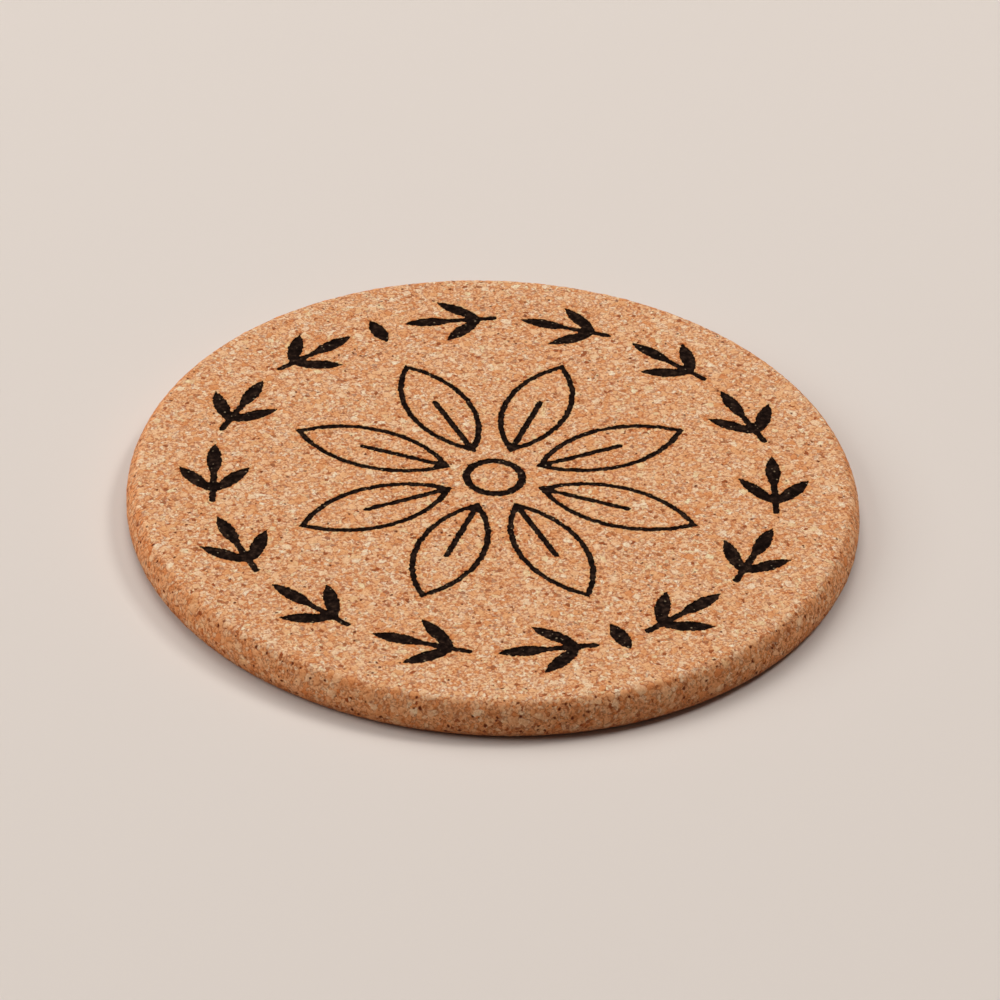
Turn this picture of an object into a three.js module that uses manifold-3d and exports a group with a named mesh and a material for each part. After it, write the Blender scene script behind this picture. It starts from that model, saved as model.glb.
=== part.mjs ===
// A round cork coaster with an ornament burnt into its top, in millimetres, +Z up.
// The origin is the centre of the underside, and +Y is the ornament's upright direction.
// The disc is one moulded piece of pressed cork granules. Its edge curves down from a crease round the flat
// top and is widest near the foot, which is rounded. Each burnt mark is a shallow channel in the disc, and
// the char in it is a solid of its own, seated on its floor.

import * as THREE from 'three';
import { mergeVertices } from 'three/addons/utils/BufferGeometryUtils.js';
import Module from 'manifold-3d';

const wasm = await Module();
wasm.setup();

// Disc: its upper edge is an arc, which runs this far out and down from the crease to the widest place
const COASTER_DIAMETER = 100;
const COASTER_THICKNESS = 5.5;
const TOP_EDGE_WIDTH = 1.6;
const TOP_EDGE_DROP = 3.3;
const BASE_EDGE_RADIUS = 1.6;

// Burn: how far the char's surface lies below the top face, the char itself and the room beside it
const CHAR_SINK = 0.2;
const CHAR_THICKNESS = 0.3;
const CHAR_CLEARANCE = 0.1;

// Rosette: a ring with plain cork inside it, and petals drawn as pointed loops with a vein
const EYE_INNER_RADIUS = 3.2;
const EYE_LINE = 1.2;
const PETAL_COUNT = 8;
const PETAL_LINE = 0.9;
const PETAL_SPACING = 3.8;
const EYE_TO_PETAL = 1.8;
const VEIN_WIDTH = 0.9;
const VEIN_TO_TIP = 10;

// Wreath: two rows of three-leaved sprigs that grow from the bottom to the top, with a bud in each gap
const PETAL_TO_WREATH = 3;
const WREATH_TO_EDGE = 4.3;
const LEAF_LENGTH = 7.6;
const LEAF_WIDTH = 2.2;
const LEAF_SPREAD = THREE.MathUtils.degToRad(40);
const STEM_LENGTH = 6;
const STEM_WIDTH = 1;
const STEM_BELOW_LEAVES = 2.4;
const SPRIG_GAP = 2.9;
const BUD_LENGTH = 6;
const BUD_WIDTH = 2.4;
const BUD_TO_SPRIG = 2;

// Facets
const DISC_SIDES = 72;
const EDGE_STEPS = 3;
const RING_STEPS = 14;
const PETAL_STEPS = 4;
const LEAF_STEPS = 3;
const STROKE_END_STEPS = 2;

// What follows from the driving dimensions. The two edges share the wall when it is too thin for both.
const discRadius = COASTER_DIAMETER / 2;
const edgeShare = Math.min(1, COASTER_THICKNESS / (TOP_EDGE_DROP + BASE_EDGE_RADIUS));
const topDrop = TOP_EDGE_DROP * edgeShare;
const topWidth = Math.min(TOP_EDGE_WIDTH, topDrop);
const topArc = (topWidth ** 2 + topDrop ** 2) / (2 * topWidth);
const baseEdge = BASE_EDGE_RADIUS * edgeShare;
const burnFloor = COASTER_THICKNESS - CHAR_SINK - CHAR_THICKNESS;

const sprigLength = STEM_LENGTH + LEAF_LENGTH;
const sprigHalfHeight = LEAF_LENGTH * Math.sin(LEAF_SPREAD) + LEAF_WIDTH / 2;
const wreathRadius = discRadius - topWidth - WREATH_TO_EDGE - sprigHalfHeight;
const budRoom = BUD_WIDTH / 2 + BUD_TO_SPRIG;
const rowLength = Math.PI * wreathRadius - 2 * budRoom;
const sprigPitch = sprigLength + SPRIG_GAP;
const sprigsInRow = Math.max(1, Math.floor((rowLength + SPRIG_GAP) / sprigPitch));

const petalStart = EYE_INNER_RADIUS + EYE_LINE + EYE_TO_PETAL;
const petalEnd = wreathRadius - sprigHalfHeight - PETAL_TO_WREATH;
const petalLength = petalEnd - petalStart;
const petalMiddle = (petalStart + petalEnd) / 2;
const petalWidth = 2 * petalMiddle * Math.sin(Math.PI / PETAL_COUNT) - PETAL_SPACING;
const veinEnd = Math.max(PETAL_LINE, petalLength - VEIN_TO_TIP);

// Turns a closed geometry into a solid that can be joined and cut. Facets shut up at a pole are dropped.
function toSolid(geometry) {
  const bare = geometry.clone();
  bare.deleteAttribute('normal');
  bare.deleteAttribute('uv');
  const merged = mergeVertices(bare);
  const corners = merged.index.array;
  const triVerts = [];
  for (let i = 0; i < corners.length; i += 3) {
    const [a, b, c] = corners.slice(i, i + 3);
    if (a !== b && b !== c && c !== a) {
      triVerts.push(a, b, c);
    }
  }
  return new wasm.Manifold(
    new wasm.Mesh({
      numProp: 3,
      vertProperties: merged.attributes.position.array,
      triVerts: new Uint32Array(triVerts),
    }),
  );
}

function toGeometry(solid) {
  const mesh = solid.getMesh();
  const geometry = new THREE.BufferGeometry();
  geometry.setAttribute('position', new THREE.Float32BufferAttribute(mesh.vertProperties, 3));
  geometry.setIndex(Array.from(mesh.triVerts));
  geometry.computeVertexNormals();
  return geometry;
}

// Outlines. Each takes grow, the distance by which the outline stands outside its nominal line.

// A ring of the given line width around the origin.
function ringOutline(innerRadius, line, grow) {
  const shape = new THREE.Shape();
  shape.absarc(0, 0, innerRadius + line + grow, 0, 2 * Math.PI);
  const hole = new THREE.Path();
  hole.absarc(0, 0, innerRadius - grow, 0, 2 * Math.PI);
  shape.holes.push(hole);
  return shape;
}

// A straight stroke with round ends, whose end centres lie on the X axis.
function barOutline(start, end, width, grow) {
  const radius = width / 2 + grow;
  const shape = new THREE.Shape();
  shape.absarc(end, 0, radius, -Math.PI / 2, Math.PI / 2);
  shape.absarc(start, 0, radius, Math.PI / 2, 1.5 * Math.PI);
  return shape;
}

// A pointed leaf between two equal arcs, from the origin to its tip on the X axis.
function leafOutline(length, width, grow) {
  const half = length / 2;
  const arcRadius = (half ** 2 + (width / 2) ** 2) / width;
  const centreOffset = arcRadius - width / 2;
  const grownRadius = arcRadius + grow;
  const sweep = Math.acos(centreOffset / grownRadius);
  const quarter = Math.PI / 2;
  const shape = new THREE.Shape();
  shape.absarc(half, centreOffset, grownRadius, -quarter - sweep, -quarter + sweep);
  shape.absarc(half, -centreOffset, grownRadius, quarter - sweep, quarter + sweep);
  return shape;
}

// A pointed leaf drawn as a loop, whose line lies inside the nominal outline.
function leafLoopOutline(length, width, line, grow) {
  const shape = leafOutline(length, width, grow);
  shape.holes.push(leafOutline(length, width, -line - grow));
  return shape;
}

// Marks. Each mark is a list of strokes, and a stroke is an outline with its place and turn in the mark.

function eyeStrokes() {
  return [{ outline: (grow) => ringOutline(EYE_INNER_RADIUS, EYE_LINE, grow), steps: RING_STEPS }];
}

// A petal lies along +X from its inner point, and its vein starts inside the line at that point.
function petalStrokes() {
  return [
    { outline: (grow) => leafLoopOutline(petalLength, petalWidth, PETAL_LINE, grow), steps: PETAL_STEPS },
    { outline: (grow) => barOutline(PETAL_LINE, veinEnd, VEIN_WIDTH, grow), steps: STROKE_END_STEPS },
  ];
}

// A sprig is centred on the origin and grows along +X: a stem, a leaf to each side and one at the tip.
function sprigStrokes() {
  const tail = -sprigLength / 2;
  const leaf = (grow) => leafOutline(LEAF_LENGTH, LEAF_WIDTH, grow);
  const sideLeafAt = tail + STEM_BELOW_LEAVES;
  const tipLeafAt = tail + STEM_LENGTH;
  const stem = (grow) => barOutline(tail + STEM_WIDTH / 2, tipLeafAt + STEM_WIDTH, STEM_WIDTH, grow);
  return [
    { outline: stem, steps: STROKE_END_STEPS },
    { outline: leaf, x: sideLeafAt, turn: LEAF_SPREAD, steps: LEAF_STEPS },
    { outline: leaf, x: sideLeafAt, turn: -LEAF_SPREAD, steps: LEAF_STEPS },
    { outline: leaf, x: tipLeafAt, steps: LEAF_STEPS },
  ];
}

function budStrokes() {
  const leaf = (grow) => leafOutline(BUD_LENGTH, BUD_WIDTH, grow);
  return [{ outline: leaf, x: -BUD_LENGTH / 2, steps: LEAF_STEPS }];
}

// Joins a mark's strokes into one flat solid that stands on z = 0.
function markGeometry(strokes, grow, height) {
  const solids = strokes.map(({ outline, x = 0, turn = 0, steps }) => {
    const options = { depth: height, bevelEnabled: false, curveSegments: steps };
    const stroke = new THREE.ExtrudeGeometry(outline(grow), options);
    return toSolid(stroke.rotateZ(turn).translate(x, 0, 0));
  });
  return toGeometry(solids.reduce((joined, solid) => joined.add(solid)));
}

// A kind of mark: the char that lies in it and the cutter that makes its channel, both standing on z = 0.
// The cutter is as tall as the disc, so it always reaches out through the top face.
function markKind(strokes) {
  return {
    char: markGeometry(strokes, 0, CHAR_THICKNESS),
    cutter: markGeometry(strokes, CHAR_CLEARANCE, COASTER_THICKNESS),
  };
}

// Places a mark at a radius and an angle round the disc's axis, turned by its own angle.
function placedMark(name, kind, radius, angle, turn) {
  const position = new THREE.Vector3(radius * Math.cos(angle), radius * Math.sin(angle), burnFloor);
  return { name, kind, position, turn };
}

function rosetteMarks() {
  const petal = markKind(petalStrokes());
  const marks = [placedMark('burnt_eye_ring', markKind(eyeStrokes()), 0, 0, 0)];
  for (let i = 0; i < PETAL_COUNT; i += 1) {
    const angle = Math.PI / 2 + (2 * Math.PI * i) / PETAL_COUNT;
    marks.push(placedMark(`burnt_petal_${i + 1}`, petal, petalStart, angle, angle));
  }
  return marks;
}

function wreathMarks() {
  const bottom = -Math.PI / 2;
  const top = Math.PI / 2;
  const bud = markKind(budStrokes());
  const sprig = markKind(sprigStrokes());
  const marks = [
    placedMark('burnt_bud_bottom', bud, wreathRadius, bottom, bottom),
    placedMark('burnt_bud_top', bud, wreathRadius, top, top),
  ];
  for (const [row, way] of [['right', 1], ['left', -1]]) {
    for (let i = 0; i < sprigsInRow; i += 1) {
      const alongRow = budRoom + sprigLength / 2 + i * sprigPitch;
      const angle = bottom + (way * alongRow) / wreathRadius;
      const turn = angle + (way * Math.PI) / 2;
      marks.push(placedMark(`burnt_sprig_${row}_${i + 1}`, sprig, wreathRadius, angle, turn));
    }
  }
  return marks;
}

// The disc is a revolved profile: flat underside, rounded foot, short wall, arched shoulder, flat top.
function discGeometry() {
  const profile = new THREE.Path();
  profile.moveTo(0, 0);
  profile.lineTo(discRadius - baseEdge, 0);
  profile.absarc(discRadius - baseEdge, baseEdge, baseEdge, -Math.PI / 2, 0);
  profile.absarc(discRadius - topArc, COASTER_THICKNESS - topDrop, topArc, 0, Math.asin(topDrop / topArc));
  profile.lineTo(0, COASTER_THICKNESS);
  return new THREE.LatheGeometry(profile.getPoints(EDGE_STEPS), DISC_SIDES).rotateX(Math.PI / 2);
}

function charMesh({ name, kind, position, turn }) {
  const material = new THREE.MeshStandardMaterial({ color: '#1a110d', roughness: 0.6, metalness: 0 });
  const mesh = new THREE.Mesh(kind.char, material);
  mesh.name = name;
  mesh.position.copy(position);
  mesh.rotation.z = turn;
  return mesh;
}

// Cuts the channel of each char mesh out of the disc, from the mesh's own place.
function corkMesh(marks, charMeshes) {
  let disc = toSolid(discGeometry());
  marks.forEach((mark, i) => {
    charMeshes[i].updateMatrix();
    disc = disc.subtract(toSolid(mark.kind.cutter.clone().applyMatrix4(charMeshes[i].matrix)));
  });
  const material = new THREE.MeshStandardMaterial({ color: '#cf9c6c', roughness: 0.9, metalness: 0 });
  const mesh = new THREE.Mesh(toGeometry(disc), material);
  mesh.name = 'cork_disc';
  return mesh;
}

const marks = [...rosetteMarks(), ...wreathMarks()];
const charMeshes = marks.map(charMesh);

const coaster = new THREE.Group();
coaster.name = 'cork_coaster';
coaster.add(corkMesh(marks, charMeshes), ...charMeshes);

export default coaster;
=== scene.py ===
"""A round coaster of pressed cork with an ornament burnt into its top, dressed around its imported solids."""

import math

import bpy
import numpy as np
from mathutils import Matrix, Vector


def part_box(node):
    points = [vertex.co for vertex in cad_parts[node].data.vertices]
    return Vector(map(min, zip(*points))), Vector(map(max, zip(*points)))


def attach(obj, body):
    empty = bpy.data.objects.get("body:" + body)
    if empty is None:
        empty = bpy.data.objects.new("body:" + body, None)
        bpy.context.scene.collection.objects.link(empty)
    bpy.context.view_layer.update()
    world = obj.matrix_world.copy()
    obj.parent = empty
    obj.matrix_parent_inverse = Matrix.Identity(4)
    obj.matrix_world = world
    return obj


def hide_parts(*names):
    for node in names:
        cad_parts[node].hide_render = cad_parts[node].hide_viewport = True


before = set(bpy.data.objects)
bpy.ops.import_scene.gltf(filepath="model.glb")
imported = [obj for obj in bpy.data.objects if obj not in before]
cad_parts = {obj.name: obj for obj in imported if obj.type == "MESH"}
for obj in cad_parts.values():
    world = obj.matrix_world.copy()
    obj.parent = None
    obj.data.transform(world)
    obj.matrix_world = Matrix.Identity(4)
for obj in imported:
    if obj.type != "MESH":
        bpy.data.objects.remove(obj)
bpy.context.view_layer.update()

MM = 0.001

# Camera, fitted to the coaster's outline and the crease round its top; the image is 1000 by 1000
CAMERA_LENS_MM = 165.4
CAMERA_SENSOR_MM = 36
CAMERA_AZIMUTH = math.radians(-27.2)
CAMERA_ELEVATION = math.radians(36.262)
CAMERA_ROLL = math.radians(-2.685)
CAMERA_DISTANCE = 628 * MM
CAMERA_AIM_RIGHT = 0.959 * MM
CAMERA_AIM_UP = 1.275 * MM
CAMERA_NEAREST = 10 * MM

# Studio
LAMP_DISTANCE = 2.0
ROOM_LIGHT = 0.04
FLOOR_SIZE = 6
FLOOR_COLOUR = "#E1D5CB"
FLOOR_ROUGHNESS = 0.8

# Disc: its upper edge is an arc that runs out and down from the crease to the widest place
DISC_SIDES = 360
TOP_EDGE_WIDTH = 1.6 * MM
TOP_EDGE_DROP = 3.3 * MM
BASE_EDGE_RADIUS = 1.6 * MM
EDGE_SEGMENTS = 10
ROUND_PROFILE = 0.5
DISC_FACET = 0.43 * MM
SMOOTH_ANGLE = math.radians(45)

# How the disc's faces and edges are chosen: the least upright share of a normal on the cylinder's top, on
# a level face and on the flat underside, and the height below which an edge belongs to the foot
TOP_NORMAL = 0.9
LEVEL_NORMAL = 0.9999
UNDERSIDE_NORMAL = 0.99999
FOOT_HEIGHT = 0.01 * MM

# The two round islands of the disc's texture map, in shares of the map, and the least distance from the
# axis that a direction is worked out from
ON_AXIS = 1e-9
TOP_ISLAND_RADIUS = 0.36
TOP_ISLAND_CENTRE = (0.365, 0.365)
BASE_ISLAND_RADIUS = 0.2
BASE_ISLAND_CENTRE = (0.79, 0.79)

# Burnt marks: their facets, how far their outlines stray, and how their channels are cut
MERGE_DISTANCE = 0.001 * MM
CHAR_FACET = 0.15 * MM
OUTLINE_STRAY_MM = 0.3
STRAY_SPACING_MM = 0.5
CHANNEL_FLOOR = 4.98 * MM
CUTTER_TOP = 6.1 * MM
CUTTER_FLAT_ANGLE = math.radians(0.3)
CHAR_INTO_WALL = 0.03 * MM
CRUST_RELIEF = 0.07 * MM
SCORCH_REACH = 0.9 * MM

# Cork granules: sizes in millimetres, and how many waves of a pattern go to the width of a granule
LARGE_GRANULE_MM = 1.0
LARGE_GRANULE_SHARE = 0.2
SMALL_GRANULE_MM = 0.5
GRANULE_BEND_MM = 0.35
BENDS_PER_LARGE_GRANULE = 1.3
WARM_PATCHES_PER_LARGE_GRANULE = 1.1
SEAM_BREAKS_PER_SMALL_GRANULE = 1.3
MOTTLE_MM = 0.25
BARK_SHARE = 0.09

# Seams between the granules: colour, width and groove in millimetres, strength on the top and the edge
SEAM_WIDTH_MM = 0.09
SEAM_LEAST_WIDTH_MM = 0.005
SEAM_MOST_WIDTH_MM = 2.2 * SEAM_WIDTH_MM
GROOVE_WIDTH_MM = 2.5 * SEAM_WIDTH_MM
SEAM_SHARE_TOP = 0.62
SEAM_SHARE_EDGE = 0.55
SEAM_COLOUR_TOP = "#AC4A1C"
SEAM_COLOUR_EDGE = "#964619"

# Pits: the rarity is the share of places that have none, and the floor is the share of a pit that is level
PIT_SPACING_MM = 0.7
PIT_RADIUS_MM = 0.3
PIT_RARITY_TOP = 0.78
PIT_RARITY_EDGE = 0.66
PIT_GROWTH_EDGE = 1.3
PIT_FLOOR = 0.4
PIT_COLOUR = "#6A3014"
LEAST_RADIUS = 0.001

# Relief of the cork in millimetres, and how much of it is left to the bump on the top and on the edge
SEAM_DEPTH_MM = 0.05
GRANULE_STEP_MM = 0.04
PIT_DEPTH_MM = 0.06
MOTTLE_DEPTH_MM = 0.05
EDGE_RELIEF = 1.2
RELIEF_STARTS_MM = 0.05
RELIEF_WHOLE_MM = 0.6
BUMP_TOP = 0.6
BUMP_EDGE = 0.35

# Colours of the cork; a tint multiplies the colour under it
GRANULE_COLOURS = [(0.0, "#DE945E"), (0.15, "#E8AB77"), (0.4, "#F0BC8C"), (0.65, "#F2C69B"),
                   (0.85, "#F4D2AC"), (1.0, "#F6E1C2")]
STRAW_COLOUR = "#F0DAAE"
STRAW_SHARE_TOP = 0.8
STRAW_SHARE_EDGE = 0.3
WARM_COLOUR = "#DC8F55"
WARM_SHARE = 0.6
BARK_COLOUR = "#96502A"
CHANNEL_WALL_COLOUR = "#2A170E"
NO_TINT = (1, 1, 1, 1)
DARK_MOTTLE_TINT = (0.86, 0.75, 0.665, 1)
PALE_MOTTLE_TINT = (1.06, 1.13, 1.15, 1)
UPPER_EDGE_TINT = (1.05, 0.86, 0.73, 1)
# Painted shade: this tint darkens the foot, where the edge turns under towards the table
FOOT_PAINTED_SHADE_TINT = (0.72, 0.54, 0.44, 1)
SINGED_TINT = (0.95, 0.83, 0.66, 1)
CORK_SPECULAR = 0.12

# Where the cork changes, in millimetres from the axis or above the table
EDGE_STARTS_MM = 48.1
EDGE_WHOLE_MM = 48.8
# Painted shade on the foot: the height where it starts and the height where it is whole
FOOT_SHADE_STARTS_MM = 2.8
FOOT_SHADE_WHOLE_MM = 0.6
CHANNEL_STARTS_MM = 5.42
CHANNEL_WHOLE_MM = 5.28

# Char: its colours and sheen, the sizes of its patterns, and its pale specks, whose radius is a share of
# the space between them
CHAR_COLOURS = [(0.36, "#120A07"), (0.49, "#1E130F"), (0.56, "#261A14"), (0.68, "#3A2A21")]
CHAR_PATCH_MM = 0.625
CHAR_LUMPS_PER_SMALL_GRANULE = 0.9
CRACKLE_MM = 0.25
CRACKLE_DEPTH = 0.08 * MM
CRACKLE_BUMP = 0.8
SPECKS_PER_SMALL_GRANULE = 0.9
SPECK_RARITY = 0.62
SPECK_RADIUS = 0.38
SPECK_CORE = 0.3
SPECK_SHARE = 0.9
SPECK_COLOUR = "#8F7C62"
CHAR_SPECULAR = 0.01

# Input and output numbers of Blender's mix node, for colours and for plain numbers
MIX_FACTOR = 0
MIX_A = 6
MIX_B = 7
MIX_RESULT = 2
MIX_NUMBER_A = 2
MIX_NUMBER_B = 3


def linear(hex_colour):
    """The linear colour of an sRGB hex value."""
    shares = [int(hex_colour[i:i + 2], 16) / 255 for i in (1, 3, 5)]
    bent = [c / 12.92 if c <= 0.04045 else ((c + 0.055) / 1.055) ** 2.4 for c in shares]
    return (*bent, 1)


def add_node(tree, kind, inputs=None, stops=None, **settings):
    """Adds a node with its settings. An input, by name or number, is a value or another node's output."""
    node = tree.nodes.new(kind)
    for name, value in settings.items():
        setattr(node, name, value)
    for socket, value in (inputs or {}).items():
        if isinstance(value, bpy.types.NodeSocket):
            tree.links.new(value, node.inputs[socket])
        else:
            node.inputs[socket].default_value = value
    if stops:
        elements = node.color_ramp.elements
        while len(elements) < len(stops):
            elements.new(1)
        for element, (position, colour) in zip(elements, stops):
            element.position = position
            element.color = linear(colour)
    return node


def select_only(*pieces):
    """Selects just these pieces and makes the first one active."""
    bpy.ops.object.select_all(action="DESELECT")
    for piece in pieces:
        piece.select_set(True)
    bpy.context.view_layer.objects.active = pieces[0]


def apply_modifier(piece, kind, **settings):
    """Adds a modifier to a piece and applies it at once."""
    select_only(piece)
    modifier = piece.modifiers.new(kind.lower(), kind)
    for name, value in settings.items():
        setattr(modifier, name, value)
    bpy.ops.object.modifier_apply(modifier=modifier.name)


def new_shaping(name):
    """A geometry node tree that takes a mesh in and gives a mesh out, and the mesh that comes in."""
    tree = bpy.data.node_groups.new(name, "GeometryNodeTree")
    tree.interface.new_socket("Geometry", in_out="INPUT", socket_type="NodeSocketGeometry")
    tree.interface.new_socket("Geometry", in_out="OUTPUT", socket_type="NodeSocketGeometry")
    start = add_node(tree, "NodeGroupInput")
    return tree, start.outputs[0]


def place_in_mm(tree, place):
    """A place in metres as millimetres, so that a pattern's scale is one over its size."""
    return add_node(tree, "ShaderNodeVectorMath", {0: place, "Scale": 1 / MM}, operation="SCALE").outputs[0]


def side_share(tree, place):
    """0 on the flat faces and 1 on the rounded edge, for a place in millimetres."""
    parts = add_node(tree, "ShaderNodeSeparateXYZ", {0: place})
    flat = add_node(tree, "ShaderNodeCombineXYZ", {0: parts.outputs[0], 1: parts.outputs[1]})
    radius = add_node(tree, "ShaderNodeVectorMath", {0: flat.outputs[0]}, operation="LENGTH")
    return add_node(tree, "ShaderNodeMapRange",
                    {"Value": radius.outputs["Value"], "From Min": EDGE_STARTS_MM, "From Max": EDGE_WHOLE_MM},
                    interpolation_type="SMOOTHSTEP").outputs[0]


def cork_granules(tree, place):
    """Pressed granules at a place in millimetres: a random tone and tint for each granule, the distance to
    its seam in millimetres, how barky it is and how deep a pit is, from 0 to 1, and whether the place is
    on the moulded edge."""
    side = side_share(tree, place)
    wander = add_node(tree, "ShaderNodeTexNoise",
                      {"Vector": place, "Scale": BENDS_PER_LARGE_GRANULE / LARGE_GRANULE_MM, "Detail": 4.0})
    centred = add_node(tree, "ShaderNodeVectorMath", {0: wander.outputs["Color"], 1: (0.5, 0.5, 0.5)},
                       operation="SUBTRACT")
    bent = add_node(tree, "ShaderNodeVectorMath",
                    {0: centred.outputs[0], 1: (2 * GRANULE_BEND_MM,) * 3, 2: place},
                    operation="MULTIPLY_ADD").outputs[0]

    # Small granules fill the space between a few large ones, which stay whole
    cells = {}
    for size in (LARGE_GRANULE_MM, SMALL_GRANULE_MM):
        colour = add_node(tree, "ShaderNodeTexVoronoi", {"Vector": bent, "Scale": 1 / size})
        edge = add_node(tree, "ShaderNodeTexVoronoi", {"Vector": bent, "Scale": 1 / size},
                        feature="DISTANCE_TO_EDGE")
        parts = add_node(tree, "ShaderNodeSeparateXYZ", {0: colour.outputs["Color"]})
        distance = add_node(tree, "ShaderNodeMath", {0: edge.outputs["Distance"], 1: size},
                            operation="MULTIPLY")
        cells[size] = (parts.outputs, distance.outputs[0])
    large, large_seam = cells[LARGE_GRANULE_MM]
    small, small_seam = cells[SMALL_GRANULE_MM]
    whole = add_node(tree, "ShaderNodeMath", {0: large[2], 1: LARGE_GRANULE_SHARE},
                     operation="LESS_THAN").outputs[0]
    both_seams = add_node(tree, "ShaderNodeMath", {0: large_seam, 1: small_seam},
                          operation="MINIMUM").outputs[0]
    tone = add_node(tree, "ShaderNodeMix",
                    {MIX_FACTOR: whole, MIX_NUMBER_A: small[0], MIX_NUMBER_B: large[0]})
    tint = add_node(tree, "ShaderNodeMix",
                    {MIX_FACTOR: whole, MIX_NUMBER_A: small[1], MIX_NUMBER_B: large[1]})
    seam = add_node(tree, "ShaderNodeMix",
                    {MIX_FACTOR: whole, MIX_NUMBER_A: both_seams, MIX_NUMBER_B: large_seam})
    broken = add_node(tree, "ShaderNodeMix",
                      {MIX_FACTOR: whole, MIX_NUMBER_A: small[2], MIX_NUMBER_B: 0.0})
    bark = add_node(tree, "ShaderNodeMapRange",
                    {"Value": broken.outputs[0], "From Min": 1 - BARK_SHARE, "From Max": 1.0})

    # Pits of many widths, wider and closer together on the edge
    holes = add_node(tree, "ShaderNodeTexVoronoi", {"Vector": bent, "Scale": 1 / PIT_SPACING_MM})
    hole_parts = add_node(tree, "ShaderNodeSeparateXYZ", {0: holes.outputs["Color"]})
    rarity = add_node(tree, "ShaderNodeMapRange",
                      {"Value": side, "To Min": PIT_RARITY_TOP, "To Max": PIT_RARITY_EDGE})
    widest = add_node(tree, "ShaderNodeMapRange",
                      {"Value": side, "To Min": PIT_RADIUS_MM / PIT_SPACING_MM,
                       "To Max": PIT_GROWTH_EDGE * PIT_RADIUS_MM / PIT_SPACING_MM})
    hole_radius = add_node(tree, "ShaderNodeMapRange",
                           {"Value": hole_parts.outputs[0], "From Min": rarity.outputs[0], "From Max": 1.0,
                            "To Min": LEAST_RADIUS, "To Max": widest.outputs[0]})
    inside = add_node(tree, "ShaderNodeMath", {0: holes.outputs["Distance"], 1: hole_radius.outputs[0]},
                      operation="DIVIDE")
    pit = add_node(tree, "ShaderNodeMapRange",
                   {"Value": inside.outputs[0], "From Min": 1.0, "From Max": PIT_FLOOR},
                   interpolation_type="SMOOTHSTEP")
    return {"tone": tone.outputs[0], "tint": tint.outputs[0], "seam": seam.outputs[0],
            "bark": bark.outputs[0], "pit": pit.outputs[0], "side": side}


def relief_depth(tree, grain):
    """How far the surface of the cork lies below its moulded shape, in millimetres."""
    groove = add_node(tree, "ShaderNodeMapRange",
                      {"Value": grain["seam"], "From Min": 0.0, "From Max": GROOVE_WIDTH_MM,
                       "To Min": SEAM_DEPTH_MM, "To Max": 0.0}, interpolation_type="SMOOTHSTEP")
    step = add_node(tree, "ShaderNodeMath", {0: grain["tint"], 1: GRANULE_STEP_MM, 2: groove.outputs[0]},
                    operation="MULTIPLY_ADD")
    return add_node(tree, "ShaderNodeMath", {0: grain["pit"], 1: PIT_DEPTH_MM, 2: step.outputs[0]},
                    operation="MULTIPLY_ADD").outputs[0]


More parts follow.
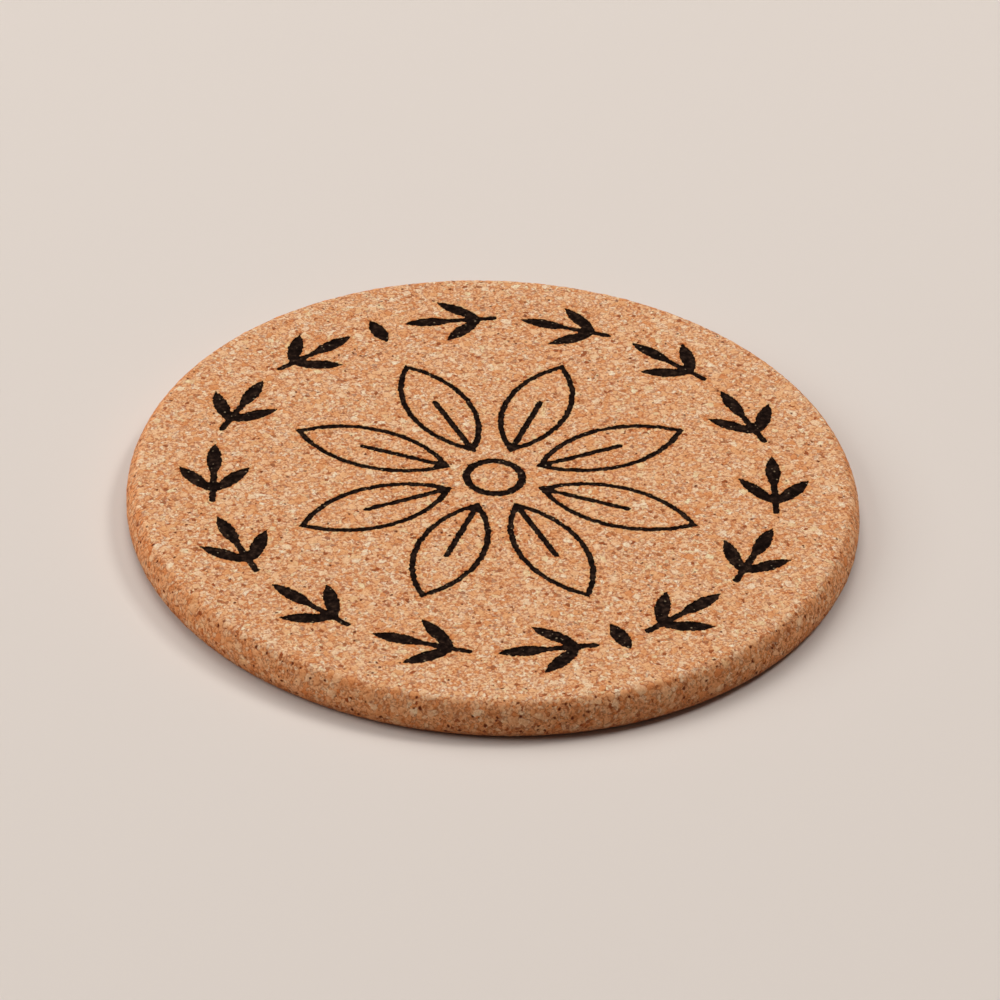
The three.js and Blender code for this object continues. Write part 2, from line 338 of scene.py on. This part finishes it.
def pressed_cork():
    """Agglomerated cork, granules glued and pressed in a mould: a matt mosaic of peach, straw and reddish
    granules under a millimetre across, with broken reddish seams, specks of bark and small dark pits,
    browner and more pitted where the edge was moulded, and singed orange beside the burnt marks. Towards
    the foot, where the edge turns under towards the table, it is darkened further by painted shade."""
    material = bpy.data.materials.new("pressed_cork")
    material.use_nodes = True
    tree = material.node_tree
    surface = tree.nodes["Principled BSDF"]
    objects = add_node(tree, "ShaderNodeTexCoord").outputs["Object"]
    place = place_in_mm(tree, objects)
    height = add_node(tree, "ShaderNodeSeparateXYZ", {0: place}).outputs[2]
    grain = cork_granules(tree, place)

    # Granules of several tones, some of them straw, in warmer and paler patches, with specks of bark
    granule = add_node(tree, "ShaderNodeValToRGB", {0: grain["tone"]}, stops=GRANULE_COLOURS)
    straw_most = add_node(tree, "ShaderNodeMapRange",
                          {"Value": grain["side"], "To Min": STRAW_SHARE_TOP, "To Max": STRAW_SHARE_EDGE})
    straw_share = add_node(tree, "ShaderNodeMapRange",
                           {"Value": grain["tint"], "From Min": 0.84, "From Max": 0.98,
                            "To Max": straw_most.outputs[0]})
    straw = add_node(tree, "ShaderNodeMix",
                     {MIX_FACTOR: straw_share.outputs[0], MIX_A: granule.outputs[0],
                      MIX_B: linear(STRAW_COLOUR)}, data_type="RGBA")
    patches = add_node(tree, "ShaderNodeTexNoise",
                       {"Vector": place, "Scale": WARM_PATCHES_PER_LARGE_GRANULE / LARGE_GRANULE_MM,
                        "Detail": 4.0})
    warm_share = add_node(tree, "ShaderNodeMapRange",
                          {"Value": patches.outputs[0], "From Min": 0.4, "From Max": 0.7,
                           "To Min": 0.0, "To Max": WARM_SHARE})
    warm = add_node(tree, "ShaderNodeMix",
                    {MIX_FACTOR: warm_share.outputs[0], MIX_A: straw.outputs[MIX_RESULT],
                     MIX_B: linear(WARM_COLOUR)}, data_type="RGBA")
    barky = add_node(tree, "ShaderNodeMix",
                     {MIX_FACTOR: grain["bark"], MIX_A: warm.outputs[MIX_RESULT],
                      MIX_B: linear(BARK_COLOUR)}, data_type="RGBA")
    fine = add_node(tree, "ShaderNodeTexNoise", {"Vector": place, "Scale": 1 / MOTTLE_MM, "Detail": 2.0})
    fine_share = add_node(tree, "ShaderNodeMapRange",
                          {"Value": fine.outputs[0], "From Min": 0.3, "From Max": 0.65})
    fine_tint = add_node(tree, "ShaderNodeMix",
                         {MIX_FACTOR: fine_share.outputs[0], MIX_A: DARK_MOTTLE_TINT,
                          MIX_B: PALE_MOTTLE_TINT}, data_type="RGBA")
    mottled = add_node(tree, "ShaderNodeMix",
                       {MIX_FACTOR: 1.0, MIX_A: barky.outputs[MIX_RESULT],
                        MIX_B: fine_tint.outputs[MIX_RESULT]}, data_type="RGBA", blend_type="MULTIPLY")

    # Seams that widen and break off, and pits
    breaks = add_node(tree, "ShaderNodeTexNoise",
                      {"Vector": place, "Scale": SEAM_BREAKS_PER_SMALL_GRANULE / SMALL_GRANULE_MM,
                       "Detail": 1.0})
    seam_width = add_node(tree, "ShaderNodeMapRange",
                          {"Value": breaks.outputs[0], "From Min": 0.46, "From Max": 0.6,
                           "To Min": SEAM_LEAST_WIDTH_MM, "To Max": SEAM_MOST_WIDTH_MM})
    seam_most = add_node(tree, "ShaderNodeMapRange",
                         {"Value": grain["side"], "To Min": SEAM_SHARE_TOP, "To Max": SEAM_SHARE_EDGE})
    seam_share = add_node(tree, "ShaderNodeMapRange",
                          {"Value": grain["seam"], "From Min": seam_width.outputs[0], "From Max": 0.0,
                           "To Max": seam_most.outputs[0]}, interpolation_type="SMOOTHSTEP")
    seam_colour = add_node(tree, "ShaderNodeMix",
                           {MIX_FACTOR: grain["side"], MIX_A: linear(SEAM_COLOUR_TOP),
                            MIX_B: linear(SEAM_COLOUR_EDGE)}, data_type="RGBA")
    seamed = add_node(tree, "ShaderNodeMix",
                      {MIX_FACTOR: seam_share.outputs[0], MIX_A: mottled.outputs[MIX_RESULT],
                       MIX_B: seam_colour.outputs[MIX_RESULT]}, data_type="RGBA")
    pitted = add_node(tree, "ShaderNodeMix",
                      {MIX_FACTOR: grain["pit"], MIX_A: seamed.outputs[MIX_RESULT],
                       MIX_B: linear(PIT_COLOUR)}, data_type="RGBA")

    # The moulded edge, browner all round, with painted shade darkening it towards the foot where it turns
    # under
    foot_shade_share = add_node(tree, "ShaderNodeMapRange",
                         {"Value": height, "From Min": FOOT_SHADE_STARTS_MM, "From Max": FOOT_SHADE_WHOLE_MM},
                         interpolation_type="SMOOTHSTEP")
    edge_brown_and_foot_shade = add_node(tree, "ShaderNodeMix",
                         {MIX_FACTOR: foot_shade_share.outputs[0], MIX_A: UPPER_EDGE_TINT, MIX_B: FOOT_PAINTED_SHADE_TINT},
                         data_type="RGBA")
    edge_and_foot_shade_tint = add_node(tree, "ShaderNodeMix",
                     {MIX_FACTOR: grain["side"], MIX_A: NO_TINT, MIX_B: edge_brown_and_foot_shade.outputs[MIX_RESULT]},
                     data_type="RGBA")
    browned_and_foot_shaded = add_node(tree, "ShaderNodeMix",
                       {MIX_FACTOR: 1.0, MIX_A: pitted.outputs[MIX_RESULT],
                        MIX_B: edge_and_foot_shade_tint.outputs[MIX_RESULT]}, data_type="RGBA", blend_type="MULTIPLY")

    # Singed beside the burnt marks, and burnt on the walls of their channels
    scorch = add_node(tree, "ShaderNodeAttribute", attribute_name="scorch").outputs["Fac"]
    singed = add_node(tree, "ShaderNodeMix", {MIX_FACTOR: scorch, MIX_A: NO_TINT, MIX_B: SINGED_TINT},
                      data_type="RGBA")
    toasted = add_node(tree, "ShaderNodeMix",
                       {MIX_FACTOR: 1.0, MIX_A: browned_and_foot_shaded.outputs[MIX_RESULT],
                        MIX_B: singed.outputs[MIX_RESULT]}, data_type="RGBA", blend_type="MULTIPLY")
    below_face = add_node(tree, "ShaderNodeMapRange",
                          {"Value": height, "From Min": CHANNEL_STARTS_MM, "From Max": CHANNEL_WHOLE_MM},
                          interpolation_type="SMOOTHSTEP")
    at_mark = add_node(tree, "ShaderNodeMapRange", {"Value": scorch, "From Min": 0.8, "From Max": 0.95})
    wall_share = add_node(tree, "ShaderNodeMath", {0: below_face.outputs[0], 1: at_mark.outputs[0]},
                          operation="MULTIPLY")
    burnt = add_node(tree, "ShaderNodeMix",
                     {MIX_FACTOR: wall_share.outputs[0], MIX_A: toasted.outputs[MIX_RESULT],
                      MIX_B: linear(CHANNEL_WALL_COLOUR)}, data_type="RGBA")
    tree.links.new(burnt.outputs[MIX_RESULT], surface.inputs["Base Color"])

    # A dry surface, with the relief that is too fine for the mesh
    dry = add_node(tree, "ShaderNodeMapRange",
                   {"Value": fine.outputs[0], "From Min": 0.3, "From Max": 0.7,
                    "To Min": 0.8, "To Max": 0.95})
    tree.links.new(dry.outputs[0], surface.inputs["Roughness"])
    surface.inputs["Specular IOR Level"].default_value = CORK_SPECULAR
    depth = add_node(tree, "ShaderNodeMath",
                     {0: fine.outputs[0], 1: MOTTLE_DEPTH_MM, 2: relief_depth(tree, grain)},
                     operation="MULTIPLY_ADD")
    strength = add_node(tree, "ShaderNodeMapRange",
                        {"Value": grain["side"], "To Min": BUMP_TOP, "To Max": BUMP_EDGE})
    bump = add_node(tree, "ShaderNodeBump",
                    {"Height": depth.outputs[0], "Distance": MM, "Strength": strength.outputs[0]},
                    invert=True)
    tree.links.new(bump.outputs[0], surface.inputs["Normal"])
    return material


def burnt_cork():
    """Cork charred by a hot tip: a dull near-black crust, brown where it is thin, with a few pale specks of
    ash and of granules that didn't burn."""
    material = bpy.data.materials.new("burnt_cork")
    material.use_nodes = True
    tree = material.node_tree
    surface = tree.nodes["Principled BSDF"]
    objects = add_node(tree, "ShaderNodeTexCoord").outputs["Object"]
    place = place_in_mm(tree, objects)
    patches = add_node(tree, "ShaderNodeTexNoise",
                       {"Vector": place, "Scale": 1 / CHAR_PATCH_MM, "Detail": 4.0})
    crust = add_node(tree, "ShaderNodeValToRGB", {0: patches.outputs[0]}, stops=CHAR_COLOURS)
    specks = add_node(tree, "ShaderNodeTexVoronoi",
                      {"Vector": place, "Scale": SPECKS_PER_SMALL_GRANULE / SMALL_GRANULE_MM})
    speck_parts = add_node(tree, "ShaderNodeSeparateXYZ", {0: specks.outputs["Color"]})
    speck_radius = add_node(tree, "ShaderNodeMapRange",
                            {"Value": speck_parts.outputs[0], "From Min": SPECK_RARITY, "From Max": 1.0,
                             "To Min": LEAST_RADIUS, "To Max": SPECK_RADIUS})
    inside = add_node(tree, "ShaderNodeMath", {0: specks.outputs["Distance"], 1: speck_radius.outputs[0]},
                      operation="DIVIDE")
    speck = add_node(tree, "ShaderNodeMapRange",
                     {"Value": inside.outputs[0], "From Min": 1.0, "From Max": SPECK_CORE,
                      "To Max": SPECK_SHARE}, interpolation_type="SMOOTHSTEP")
    ashy = add_node(tree, "ShaderNodeMix",
                    {MIX_FACTOR: speck.outputs[0], MIX_A: crust.outputs[0], MIX_B: linear(SPECK_COLOUR)},
                    data_type="RGBA")
    tree.links.new(ashy.outputs[MIX_RESULT], surface.inputs["Base Color"])
    dull = add_node(tree, "ShaderNodeMapRange",
                    {"Value": patches.outputs[0], "From Min": 0.35, "From Max": 0.65,
                     "To Min": 0.7, "To Max": 0.9})
    tree.links.new(dull.outputs[0], surface.inputs["Roughness"])
    surface.inputs["Specular IOR Level"].default_value = CHAR_SPECULAR
    crackle = add_node(tree, "ShaderNodeTexNoise",
                       {"Vector": place, "Scale": 1 / CRACKLE_MM, "Detail": 3.0})
    bump = add_node(tree, "ShaderNodeBump",
                    {"Height": crackle.outputs[0], "Distance": CRACKLE_DEPTH, "Strength": CRACKLE_BUMP})
    tree.links.new(bump.outputs[0], surface.inputs["Normal"])
    return material


def stray_outline():
    """Shaping that lets the outline of a burnt mark stray sideways, as a hot tip does on granules."""
    tree, mesh = new_shaping("stray_outline")
    place = place_in_mm(tree, add_node(tree, "GeometryNodeInputPosition").outputs[0])
    parts = add_node(tree, "ShaderNodeSeparateXYZ", {0: place})
    flat = add_node(tree, "ShaderNodeCombineXYZ", {0: parts.outputs[0], 1: parts.outputs[1]})
    strays = add_node(tree, "ShaderNodeTexNoise",
                      {"Vector": flat.outputs[0], "Scale": 1 / STRAY_SPACING_MM, "Detail": 2.0})
    centred = add_node(tree, "ShaderNodeVectorMath", {0: strays.outputs["Color"], 1: (0.5, 0.5, 0.5)},
                       operation="SUBTRACT")
    reach = 2 * OUTLINE_STRAY_MM * MM
    sideways = add_node(tree, "ShaderNodeVectorMath", {0: centred.outputs[0], 1: (reach, reach, 0)},
                        operation="MULTIPLY")
    moved = add_node(tree, "GeometryNodeSetPosition", {"Geometry": mesh, "Offset": sideways.outputs[0]})
    add_node(tree, "NodeGroupOutput", {0: moved.outputs[0]})
    return tree


def channel_cutter(middle):
    """Shaping that stretches a mark into the tool that cuts its channel, from its floor to above the face."""
    tree, mesh = new_shaping("channel_cutter")
    place = add_node(tree, "GeometryNodeInputPosition").outputs[0]
    parts = add_node(tree, "ShaderNodeSeparateXYZ", {0: place})
    upper = add_node(tree, "ShaderNodeMath", {0: parts.outputs[2], 1: middle}, operation="GREATER_THAN")
    height = add_node(tree, "ShaderNodeMix",
                      {MIX_FACTOR: upper.outputs[0], MIX_NUMBER_A: CHANNEL_FLOOR, MIX_NUMBER_B: CUTTER_TOP})
    stretched = add_node(tree, "ShaderNodeCombineXYZ",
                         {0: parts.outputs[0], 1: parts.outputs[1], 2: height.outputs[0]})
    moved = add_node(tree, "GeometryNodeSetPosition", {"Geometry": mesh, "Position": stretched.outputs[0]})
    add_node(tree, "NodeGroupOutput", {0: moved.outputs[0]})
    return tree


def char_crust():
    """Shaping that sets a mark's sides into the channel's walls and gives its top an uneven crust."""
    tree, mesh = new_shaping("char_crust")
    place = place_in_mm(tree, add_node(tree, "GeometryNodeInputPosition").outputs[0])
    normal = add_node(tree, "GeometryNodeInputNormal").outputs[0]
    outwards = add_node(tree, "ShaderNodeVectorMath", {0: normal, 1: (CHAR_INTO_WALL, CHAR_INTO_WALL, 0)},
                        operation="MULTIPLY")
    upwards = add_node(tree, "ShaderNodeSeparateXYZ", {0: normal})
    on_top = add_node(tree, "ShaderNodeMapRange",
                      {"Value": upwards.outputs[2], "From Min": 0.5, "From Max": 0.9})
    lumps = add_node(tree, "ShaderNodeTexNoise",
                     {"Vector": place, "Scale": CHAR_LUMPS_PER_SMALL_GRANULE / SMALL_GRANULE_MM,
                      "Detail": 3.0})
    lumpy = add_node(tree, "ShaderNodeMapRange",
                     {"Value": lumps.outputs[0], "From Min": 0.3, "From Max": 0.7,
                      "To Min": -CRUST_RELIEF, "To Max": CRUST_RELIEF})
    rise = add_node(tree, "ShaderNodeMath", {0: lumpy.outputs[0], 1: on_top.outputs[0]},
                    operation="MULTIPLY")
    lift = add_node(tree, "ShaderNodeCombineXYZ", {2: rise.outputs[0]})
    offset = add_node(tree, "ShaderNodeVectorMath", {0: outwards.outputs[0], 1: lift.outputs[0]},
                      operation="ADD")
    moved = add_node(tree, "GeometryNodeSetPosition", {"Geometry": mesh, "Offset": offset.outputs[0]})
    add_node(tree, "NodeGroupOutput", {0: moved.outputs[0]})
    return tree


def cork_relief():
    """Shaping that sinks the seams, pits and lower granules of the cork below its moulded surface, except on
    the flat underside."""
    tree, mesh = new_shaping("cork_relief")
    place = place_in_mm(tree, add_node(tree, "GeometryNodeInputPosition").outputs[0])
    grain = cork_granules(tree, place)
    inwards = add_node(tree, "ShaderNodeMapRange",
                       {"Value": grain["side"], "To Min": -MM, "To Max": -EDGE_RELIEF * MM})
    height = add_node(tree, "ShaderNodeSeparateXYZ", {0: place}).outputs[2]
    above_foot = add_node(tree, "ShaderNodeMapRange",
                          {"Value": height, "From Min": RELIEF_STARTS_MM, "From Max": RELIEF_WHOLE_MM,
                           "To Max": inwards.outputs[0]})
    sunk = add_node(tree, "ShaderNodeMath", {0: relief_depth(tree, grain), 1: above_foot.outputs[0]},
                    operation="MULTIPLY")
    normal = add_node(tree, "GeometryNodeInputNormal").outputs[0]
    offset = add_node(tree, "ShaderNodeVectorMath", {0: normal, "Scale": sunk.outputs[0]},
                      operation="SCALE")
    moved = add_node(tree, "GeometryNodeSetPosition", {"Geometry": mesh, "Offset": offset.outputs[0]})
    add_node(tree, "NodeGroupOutput", {0: moved.outputs[0]})
    return tree


def scorch_near(cutter):
    """Shaping that writes how scorched each point is: 1 at a burnt mark, 0 beyond the heat's reach."""
    tree, mesh = new_shaping("scorch_near")
    marks = add_node(tree, "GeometryNodeObjectInfo", {"Object": cutter})
    away = add_node(tree, "GeometryNodeProximity", {0: marks.outputs["Geometry"]}, target_element="FACES")
    scorch = add_node(tree, "ShaderNodeMapRange",
                      {"Value": away.outputs["Distance"], "From Min": 0.0, "From Max": SCORCH_REACH,
                       "To Min": 1.0, "To Max": 0.0})
    kept = add_node(tree, "GeometryNodeStoreNamedAttribute",
                    {"Geometry": mesh, "Name": "scorch", "Value": scorch.outputs[0]})
    add_node(tree, "NodeGroupOutput", {0: kept.outputs[0]})
    return tree


def merged_copy(node):
    """A new object with a copy of a CAD node's mesh, its loose triangles merged."""
    piece = bpy.data.objects.new(f"{node}_char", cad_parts[node].data.copy())
    bpy.context.collection.objects.link(piece)
    piece.data.materials.clear()
    select_only(piece)
    bpy.ops.object.mode_set(mode="EDIT")
    bpy.ops.mesh.select_all(action="SELECT")
    bpy.ops.mesh.remove_doubles(threshold=MERGE_DISTANCE)
    bpy.ops.object.mode_set(mode="OBJECT")
    return piece


def burnt_marks(nodes, material):
    """The char of each mark as its own piece, and one tool that cuts all their channels."""
    low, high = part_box(nodes[0])
    stray = stray_outline()
    cutter_shape = channel_cutter((low.z + high.z) / 2)
    crust = char_crust()
    pieces = []
    cutters = []
    for node in nodes:
        piece = merged_copy(node)
        apply_modifier(piece, "REMESH", mode="VOXEL", voxel_size=CHAR_FACET)
        apply_modifier(piece, "NODES", node_group=stray)
        cutter = bpy.data.objects.new("channel_tool", piece.data.copy())
        bpy.context.collection.objects.link(cutter)
        apply_modifier(cutter, "NODES", node_group=cutter_shape)
        apply_modifier(cutter, "DECIMATE", decimate_type="DISSOLVE", angle_limit=CUTTER_FLAT_ANGLE)
        apply_modifier(piece, "NODES", node_group=crust)
        piece.data.materials.append(material)
        select_only(piece)
        bpy.ops.object.shade_smooth()
        pieces.append(piece)
        cutters.append(cutter)
    select_only(*cutters)
    bpy.ops.object.join()
    return pieces, cutters[0]


def edit_selected(disc, kind, wanted):
    """Enters edit mode with just the wanted points, edges or faces of the disc selected."""
    select_only(disc)
    bpy.ops.object.mode_set(mode="EDIT")
    bpy.ops.mesh.select_mode(type=kind)
    bpy.ops.mesh.select_all(action="DESELECT")
    bpy.ops.object.mode_set(mode="OBJECT")
    items = {"VERT": disc.data.vertices, "EDGE": disc.data.edges, "FACE": disc.data.polygons}[kind]
    for item in items:
        item.select = wanted(item)
    bpy.ops.object.mode_set(mode="EDIT")


def round_foot(disc):
    """Rounds the disc's lower rim."""
    points = disc.data.vertices
    edit_selected(disc, "EDGE", lambda edge: all(points[i].co.z < FOOT_HEIGHT for i in edge.vertices))
    bpy.ops.mesh.bevel(offset=BASE_EDGE_RADIUS, segments=EDGE_SEGMENTS, profile=ROUND_PROFILE,
                       affect="EDGES")
    bpy.ops.object.mode_set(mode="OBJECT")


def arch_shoulder(disc, radius):
    """Raises the top face in steps, each a little smaller, along the arc of the upper edge to the crease."""
    edit_selected(disc, "FACE", lambda face: face.normal.z > TOP_NORMAL)
    arc = (TOP_EDGE_WIDTH ** 2 + TOP_EDGE_DROP ** 2) / (2 * TOP_EDGE_WIDTH)
    sweep = math.asin(TOP_EDGE_DROP / arc)
    start = max(point.co.z for point in disc.data.vertices)
    level = start
    width = radius
    for step in range(1, EDGE_SEGMENTS + 1):
        angle = sweep * step / EDGE_SEGMENTS
        next_level = start + arc * math.sin(angle)
        next_width = radius - arc + arc * math.cos(angle)
        bpy.ops.mesh.extrude_region_move(TRANSFORM_OT_translate={"value": (0, 0, next_level - level)})
        share = next_width / width
        bpy.ops.transform.resize(value=(share, share, 1), center_override=(0, 0, next_level))
        level = next_level
        width = next_width
    bpy.ops.object.mode_set(mode="OBJECT")


def cut_channels(disc, cutter):
    """Cuts the burnt channels. The underside is made one face first, and the points that the cut leaves
    between just two faces are dropped, because they fold into stray facets."""
    edit_selected(disc, "FACE", lambda face: face.normal.z < -UNDERSIDE_NORMAL)
    bpy.ops.mesh.dissolve_faces()
    bpy.ops.object.mode_set(mode="OBJECT")
    apply_modifier(disc, "BOOLEAN", operation="DIFFERENCE", object=cutter, solver="MANIFOLD")
    edit_selected(disc, "VERT", lambda point: True)
    bpy.ops.mesh.dissolve_limited(angle_limit=0.0, use_dissolve_boundaries=True)
    bpy.ops.object.mode_set(mode="OBJECT")


def lay_out_map(disc):
    """Lays the surface out flat for its textures: the top with the upper half of the edge as one round
    island, and the underside with the lower half as another, each true to length along every radius."""
    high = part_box("cork_disc")[1]
    middle = (BASE_EDGE_RADIUS + high.z - TOP_EDGE_DROP) / 2
    mesh = disc.data
    points = np.empty(len(mesh.vertices) * 3, np.float32)
    mesh.vertices.foreach_get("co", points)
    points = points.reshape(-1, 3).astype(float)
    corners = np.empty(len(mesh.loops), np.int32)
    mesh.loops.foreach_get("vertex_index", corners)
    centres = np.empty(len(mesh.polygons) * 3, np.float32)
    mesh.polygons.foreach_get("center", centres)
    corner_counts = np.empty(len(mesh.polygons), np.int32)
    mesh.polygons.foreach_get("loop_total", corner_counts)
    on_top = np.repeat(centres.reshape(-1, 3)[:, 2] > middle, corner_counts)
    place = points[corners]
    from_axis = np.hypot(place[:, 0], place[:, 1])
    layout = np.empty((len(corners), 2))
    for upper, edge, level, way, share, centre in (
            (True, TOP_EDGE_WIDTH, high.z, -1, TOP_ISLAND_RADIUS, TOP_ISLAND_CENTRE),
            (False, BASE_EDGE_RADIUS, 0.0, 1, BASE_ISLAND_RADIUS, BASE_ISLAND_CENTRE)):
        chosen = on_top == upper
        flat = high.x - edge
        beyond = from_axis[chosen] - flat
        drop = (place[chosen, 2] - level) * way
        along = np.where(beyond > 0, flat + np.hypot(beyond, drop), from_axis[chosen])
        longest = flat + math.hypot(edge, middle - level)
        spread = share * along / longest / np.maximum(from_axis[chosen], ON_AXIS)
        layout[chosen, 0] = centre[0] + place[chosen, 0] * spread
        layout[chosen, 1] = centre[1] - way * place[chosen, 1] * spread
    mesh.uv_layers.new(name="OFBake").data.foreach_set("uv", layout.astype(np.float32).ravel())


def cork_disc(cutter, material):
    """The moulded disc with its rounded edge, its granular surface and the channels of the burnt marks."""
    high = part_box("cork_disc")[1]
    bpy.ops.object.select_all(action="DESELECT")
    wall_top = high.z - TOP_EDGE_DROP
    bpy.ops.mesh.primitive_cylinder_add(vertices=DISC_SIDES, radius=high.x, depth=wall_top,
                                        location=(0, 0, wall_top / 2))
    disc = bpy.context.active_object
    disc.name = "pressed_cork_disc"
    bpy.ops.object.transform_apply(location=True, rotation=False, scale=False)
    round_foot(disc)
    arch_shoulder(disc, high.x)
    apply_modifier(disc, "REMESH", mode="VOXEL", voxel_size=DISC_FACET)
    apply_modifier(disc, "NODES", node_group=cork_relief())
    cut_channels(disc, cutter)
    apply_modifier(disc, "NODES", node_group=scorch_near(cutter))
    disc.data.materials.clear()
    disc.data.materials.append(material)

    # Smooth apart from the rims, with the channels' floors and the underside left flat
    select_only(disc)
    bpy.ops.object.shade_smooth_by_angle(angle=SMOOTH_ANGLE)
    edit_selected(disc, "FACE", lambda face: abs(face.normal.z) > LEVEL_NORMAL and len(face.vertices) > 4)
    bpy.ops.mesh.faces_shade_flat()
    bpy.ops.object.mode_set(mode="OBJECT")
    apply_modifier(disc, "TRIANGULATE")
    lay_out_map(disc)
    return disc


def add_camera():
    """The photograph's camera."""
    back = Vector((math.sin(CAMERA_AZIMUTH) * math.cos(CAMERA_ELEVATION),
                   -math.cos(CAMERA_AZIMUTH) * math.cos(CAMERA_ELEVATION),
                   math.sin(CAMERA_ELEVATION)))
    level = Vector((math.cos(CAMERA_AZIMUTH), math.sin(CAMERA_AZIMUTH), 0))
    above = back.cross(level)
    right = level * math.cos(CAMERA_ROLL) - above * math.sin(CAMERA_ROLL)
    up = level * math.sin(CAMERA_ROLL) + above * math.cos(CAMERA_ROLL)
    camera = bpy.data.objects.new("camera", bpy.data.cameras.new("camera"))
    camera.data.lens = CAMERA_LENS_MM
    camera.data.sensor_width = CAMERA_SENSOR_MM
    camera.data.clip_start = CAMERA_NEAREST
    camera.matrix_world = Matrix((right, up, back)).transposed().to_4x4()
    camera.location = right * CAMERA_AIM_RIGHT + up * CAMERA_AIM_UP + back * CAMERA_DISTANCE
    bpy.context.collection.objects.link(camera)
    bpy.context.scene.camera = camera


def add_lamp(name, azimuth, elevation, size, share):
    """A square soft light aimed at the coaster from an azimuth and elevation in degrees, which gives a level
    white surface there that share of white."""
    way = Vector((math.sin(math.radians(azimuth)) * math.cos(math.radians(elevation)),
                  math.cos(math.radians(azimuth)) * math.cos(math.radians(elevation)),
                  math.sin(math.radians(elevation))))
    lamp = bpy.data.objects.new(name, bpy.data.lights.new(name, "AREA"))
    lamp.data.shape = "SQUARE"
    lamp.data.size = size
    lamp.data.energy = share * (math.pi * LAMP_DISTANCE) ** 2 / way.z
    lamp.location = way * LAMP_DISTANCE
    lamp.rotation_euler = way.to_track_quat("Z", "Y").to_euler()
    bpy.context.collection.objects.link(lamp)


def light_studio():
    """Broad soft lights overhead, from behind and from the left of the camera's view, a smaller one from
    behind to the right, and a dim room."""
    add_lamp("overhead_light", azimuth=10, elevation=74, size=1.5, share=0.26)
    add_lamp("back_light", azimuth=15, elevation=54, size=1.0, share=0.2)
    add_lamp("left_light", azimuth=-65, elevation=38, size=1.3, share=0.29)
    add_lamp("right_light", azimuth=85, elevation=52, size=0.5, share=0.25)
    world = bpy.data.worlds.new("dim_room")
    world.use_nodes = True
    room = world.node_tree.nodes["Background"]
    room.inputs["Color"].default_value = (1, 1, 1, 1)
    room.inputs["Strength"].default_value = ROOM_LIGHT
    bpy.context.scene.world = world


def add_floor():
    """A plain pale table top."""
    bpy.ops.object.select_all(action="DESELECT")
    bpy.ops.mesh.primitive_plane_add(size=FLOOR_SIZE)
    floor = bpy.context.active_object
    floor.name = "floor"
    material = bpy.data.materials.new("pale_table")
    material.use_nodes = True
    surface = material.node_tree.nodes["Principled BSDF"]
    surface.inputs["Base Color"].default_value = linear(FLOOR_COLOUR)
    surface.inputs["Roughness"].default_value = FLOOR_ROUGHNESS
    floor.data.materials.append(material)


add_camera()
mark_nodes = sorted(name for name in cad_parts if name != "cork_disc")
chars, channel_tool = burnt_marks(mark_nodes, burnt_cork())
disc = cork_disc(channel_tool, pressed_cork())
bpy.data.objects.remove(channel_tool)

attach(disc, "root")
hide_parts("cork_disc")
for node, char in zip(mark_nodes, chars):
    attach(char, "root")
    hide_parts(node)

add_floor()
light_studio()
bpy.context.scene.view_settings.view_transform = "Standard"
